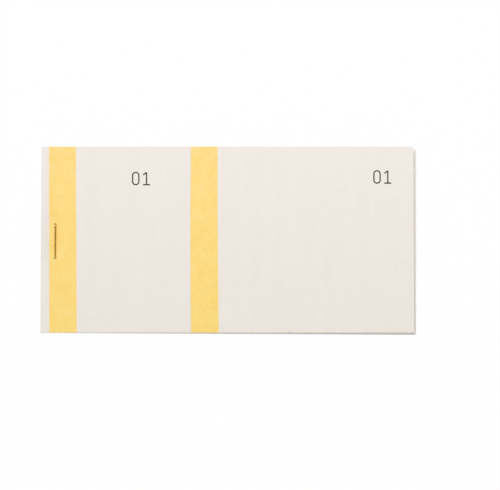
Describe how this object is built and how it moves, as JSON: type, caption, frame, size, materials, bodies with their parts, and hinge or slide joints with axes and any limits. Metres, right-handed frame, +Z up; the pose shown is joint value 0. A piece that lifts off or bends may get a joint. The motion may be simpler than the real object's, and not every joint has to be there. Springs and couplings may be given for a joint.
{
  "type": "counterfoil receipt book",
  "caption": "Stapled oblong receipt book on a stiff back board: numbered leaves with yellow bands turn at the bound margin, and each slip tears off its counterfoil at a perforation",
  "frame": {"origin": "on the underside of the back board, below the middle of the leaves", "axes": "+X along the page from the bound edge to the slip end, +Y towards the head of the page, +Z up out of the top leaf"},
  "size_m": [0.1414, 0.0707, 0.0043],
  "materials": {
    "paper": "matte",
    "board": "matte",
    "wire": "satin"
  },
  "bodies": {
    "book_back": {"back_board": "board", "staple": "wire", "margin_01": "paper", "margin_02": "paper", "margin_03": "paper", "margin_04": "paper", "margin_05": "paper", "margin_06": "paper", "margin_07": "paper", "margin_08": "paper", "margin_09": "paper", "margin_10": "paper", "margin_11": "paper", "margin_12": "paper", "margin_13": "paper", "margin_14": "paper", "margin_15": "paper", "margin_16": "paper", "margin_17": "paper", "margin_18": "paper", "margin_19": "paper", "margin_20": "paper", "margin_21": "paper", "margin_22": "paper", "margin_23": "paper", "margin_24": "paper", "margin_25": "paper"},
    "leaf_01": {"counterfoil_01": "paper"},
    "perforation_01": {"perforation_ties_01": "paper"},
    "slip_01": {"slip_01": "paper"},
    "leaf_02": {"leaf_02": "paper"},
    "leaf_03": {"leaf_03": "paper"},
    "leaf_04": {"leaf_04": "paper"},
    "leaf_05": {"leaf_05": "paper"},
    "leaf_06": {"leaf_06": "paper"},
    "leaf_07": {"leaf_07": "paper"},
    "leaf_08": {"leaf_08": "paper"},
    "leaf_09": {"leaf_09": "paper"},
    "leaf_10": {"leaf_10": "paper"},
    "leaf_11": {"leaf_11": "paper"},
    "leaf_12": {"leaf_12": "paper"},
    "leaf_13": {"leaf_13": "paper"},
    "leaf_14": {"leaf_14": "paper"},
    "leaf_15": {"leaf_15": "paper"},
    "leaf_16": {"leaf_16": "paper"},
    "leaf_17": {"leaf_17": "paper"},
    "leaf_18": {"leaf_18": "paper"},
    "leaf_19": {"leaf_19": "paper"},
    "leaf_20": {"leaf_20": "paper"},
    "leaf_21": {"leaf_21": "paper"},
    "leaf_22": {"leaf_22": "paper"},
    "leaf_23": {"leaf_23": "paper"},
    "leaf_24": {"leaf_24": "paper"},
    "leaf_25": {"leaf_25": "paper"}
  },
  "joints": [
    {"name": "leaf_turn_01", "type": "hinge", "parent": "book_back", "child": "leaf_01", "pos_m": [-0.057, 0, 0.00375], "axis": [0, 1, 0], "range_deg": [-172, 0]},
    {"name": "leaf_turn_02", "type": "hinge", "parent": "book_back", "child": "leaf_02", "pos_m": [-0.057, 0, 0.00375], "axis": [0, 1, 0], "range_deg": [-165.12, 0]},
    {"name": "leaf_turn_03", "type": "hinge", "parent": "book_back", "child": "leaf_03", "pos_m": [-0.057, 0, 0.00375], "axis": [0, 1, 0], "range_deg": [-158.24, 0]},
    {"name": "leaf_turn_04", "type": "hinge", "parent": "book_back", "child": "leaf_04", "pos_m": [-0.057, 0, 0.00375], "axis": [0, 1, 0], "range_deg": [-151.36, 0]},
    {"name": "leaf_turn_05", "type": "hinge", "parent": "book_back", "child": "leaf_05", "pos_m": [-0.057, 0, 0.00375], "axis": [0, 1, 0], "range_deg": [-144.48, 0]},
    {"name": "leaf_turn_06", "type": "hinge", "parent": "book_back", "child": "leaf_06", "pos_m": [-0.057, 0, 0.00375], "axis": [0, 1, 0], "range_deg": [-137.6, 0]},
    {"name": "leaf_turn_07", "type": "hinge", "parent": "book_back", "child": "leaf_07", "pos_m": [-0.057, 0, 0.00375], "axis": [0, 1, 0], "range_deg": [-130.72, 0]},
    {"name": "leaf_turn_08", "type": "hinge", "parent": "book_back", "child": "leaf_08", "pos_m": [-0.057, 0, 0.00375], "axis": [0, 1, 0], "range_deg": [-123.84, 0]},
    {"name": "leaf_turn_09", "type": "hinge", "parent": "book_back", "child": "leaf_09", "pos_m": [-0.057, 0, 0.00375], "axis": [0, 1, 0], "range_deg": [-116.96, 0]},
    {"name": "leaf_turn_10", "type": "hinge", "parent": "book_back", "child": "leaf_10", "pos_m": [-0.057, 0, 0.00375], "axis": [0, 1, 0], "range_deg": [-110.08, 0]},
    {"name": "leaf_turn_11", "type": "hinge", "parent": "book_back", "child": "leaf_11", "pos_m": [-0.057, 0, 0.00375], "axis": [0, 1, 0], "range_deg": [-103.2, 0]},
    {"name": "leaf_turn_12", "type": "hinge", "parent": "book_back", "child": "leaf_12", "pos_m": [-0.057, 0, 0.00375], "axis": [0, 1, 0], "range_deg": [-96.32, 0]},
    {"name": "leaf_turn_13", "type": "hinge", "parent": "book_back", "child": "leaf_13", "pos_m": [-0.057, 0, 0.00375], "axis": [0, 1, 0], "range_deg": [-89.44, 0]},
    {"name": "leaf_turn_14", "type": "hinge", "parent": "book_back", "child": "leaf_14", "pos_m": [-0.057, 0, 0.00375], "axis": [0, 1, 0], "range_deg": [-82.56, 0]},
    {"name": "leaf_turn_15", "type": "hinge", "parent": "book_back", "child": "leaf_15", "pos_m": [-0.057, 0, 0.00375], "axis": [0, 1, 0], "range_deg": [-75.68, 0]},
    {"name": "leaf_turn_16", "type": "hinge", "parent": "book_back", "child": "leaf_16", "pos_m": [-0.057, 0, 0.00375], "axis": [0, 1, 0], "range_deg": [-68.8, 0]},
    {"name": "leaf_turn_17", "type": "hinge", "parent": "book_back", "child": "leaf_17", "pos_m": [-0.057, 0, 0.00375], "axis": [0, 1, 0], "range_deg": [-61.92, 0]},
    {"name": "leaf_turn_18", "type": "hinge", "parent": "book_back", "child": "leaf_18", "pos_m": [-0.057, 0, 0.00375], "axis": [0, 1, 0], "range_deg": [-55.04, 0]},
    {"name": "leaf_turn_19", "type": "hinge", "parent": "book_back", "child": "leaf_19", "pos_m": [-0.057, 0, 0.00375], "axis": [0, 1, 0], "range_deg": [-48.16, 0]},
    {"name": "leaf_turn_20", "type": "hinge", "parent": "book_back", "child": "leaf_20", "pos_m": [-0.057, 0, 0.00375], "axis": [0, 1, 0], "range_deg": [-41.28, 0]},
    {"name": "leaf_turn_21", "type": "hinge", "parent": "book_back", "child": "leaf_21", "pos_m": [-0.057, 0, 0.00375], "axis": [0, 1, 0], "range_deg": [-34.4, 0]},
    {"name": "leaf_turn_22", "type": "hinge", "parent": "book_back", "child": "leaf_22", "pos_m": [-0.057, 0, 0.00375], "axis": [0, 1, 0], "range_deg": [-27.52, 0]},
    {"name": "leaf_turn_23", "type": "hinge", "parent": "book_back", "child": "leaf_23", "pos_m": [-0.057, 0, 0.00375], "axis": [0, 1, 0], "range_deg": [-20.64, 0]},
    {"name": "leaf_turn_24", "type": "hinge", "parent": "book_back", "child": "leaf_24", "pos_m": [-0.057, 0, 0.00375], "axis": [0, 1, 0], "range_deg": [-13.76, 0]},
    {"name": "leaf_turn_25", "type": "hinge", "parent": "book_back", "child": "leaf_25", "pos_m": [-0.057, 0, 0.00375], "axis": [0, 1, 0], "range_deg": [-6.88, 0]},
    {"name": "slip_fold_01", "type": "hinge", "parent": "leaf_01", "child": "perforation_01", "pos_m": [-0.01422, 0, 0.00375], "axis": [0, -1, 0], "range_deg": [0, 165]},
    {"name": "slip_tear_01", "type": "slide", "parent": "perforation_01", "child": "slip_01", "axis": [1, 0, 0], "range_m": [0, 0.09]}
  ],
  "couplings": [
    {"joint": "leaf_turn_02", "follows": "leaf_turn_01", "ratio": 0.96},
    {"joint": "leaf_turn_03", "follows": "leaf_turn_01", "ratio": 0.92},
    {"joint": "leaf_turn_04", "follows": "leaf_turn_01", "ratio": 0.88},
    {"joint": "leaf_turn_05", "follows": "leaf_turn_01", "ratio": 0.84},
    {"joint": "leaf_turn_06", "follows": "leaf_turn_01", "ratio": 0.8},
    {"joint": "leaf_turn_07", "follows": "leaf_turn_01", "ratio": 0.76},
    {"joint": "leaf_turn_08", "follows": "leaf_turn_01", "ratio": 0.72},
    {"joint": "leaf_turn_09", "follows": "leaf_turn_01", "ratio": 0.68},
    {"joint": "leaf_turn_10", "follows": "leaf_turn_01", "ratio": 0.64},
    {"joint": "leaf_turn_11", "follows": "leaf_turn_01", "ratio": 0.6},
    {"joint": "leaf_turn_12", "follows": "leaf_turn_01", "ratio": 0.56},
    {"joint": "leaf_turn_13", "follows": "leaf_turn_01", "ratio": 0.52},
    {"joint": "leaf_turn_14", "follows": "leaf_turn_01", "ratio": 0.48},
    {"joint": "leaf_turn_15", "follows": "leaf_turn_01", "ratio": 0.44},
    {"joint": "leaf_turn_16", "follows": "leaf_turn_01", "ratio": 0.4},
    {"joint": "leaf_turn_17", "follows": "leaf_turn_01", "ratio": 0.36},
    {"joint": "leaf_turn_18", "follows": "leaf_turn_01", "ratio": 0.32},
    {"joint": "leaf_turn_19", "follows": "leaf_turn_01", "ratio": 0.28},
    {"joint": "leaf_turn_20", "follows": "leaf_turn_01", "ratio": 0.24},
    {"joint": "leaf_turn_21", "follows": "leaf_turn_01", "ratio": 0.2},
    {"joint": "leaf_turn_22", "follows": "leaf_turn_01", "ratio": 0.16},
    {"joint": "leaf_turn_23", "follows": "leaf_turn_01", "ratio": 0.12},
    {"joint": "leaf_turn_24", "follows": "leaf_turn_01", "ratio": 0.08},
    {"joint": "leaf_turn_25", "follows": "leaf_turn_01", "ratio": 0.04}
  ]
}
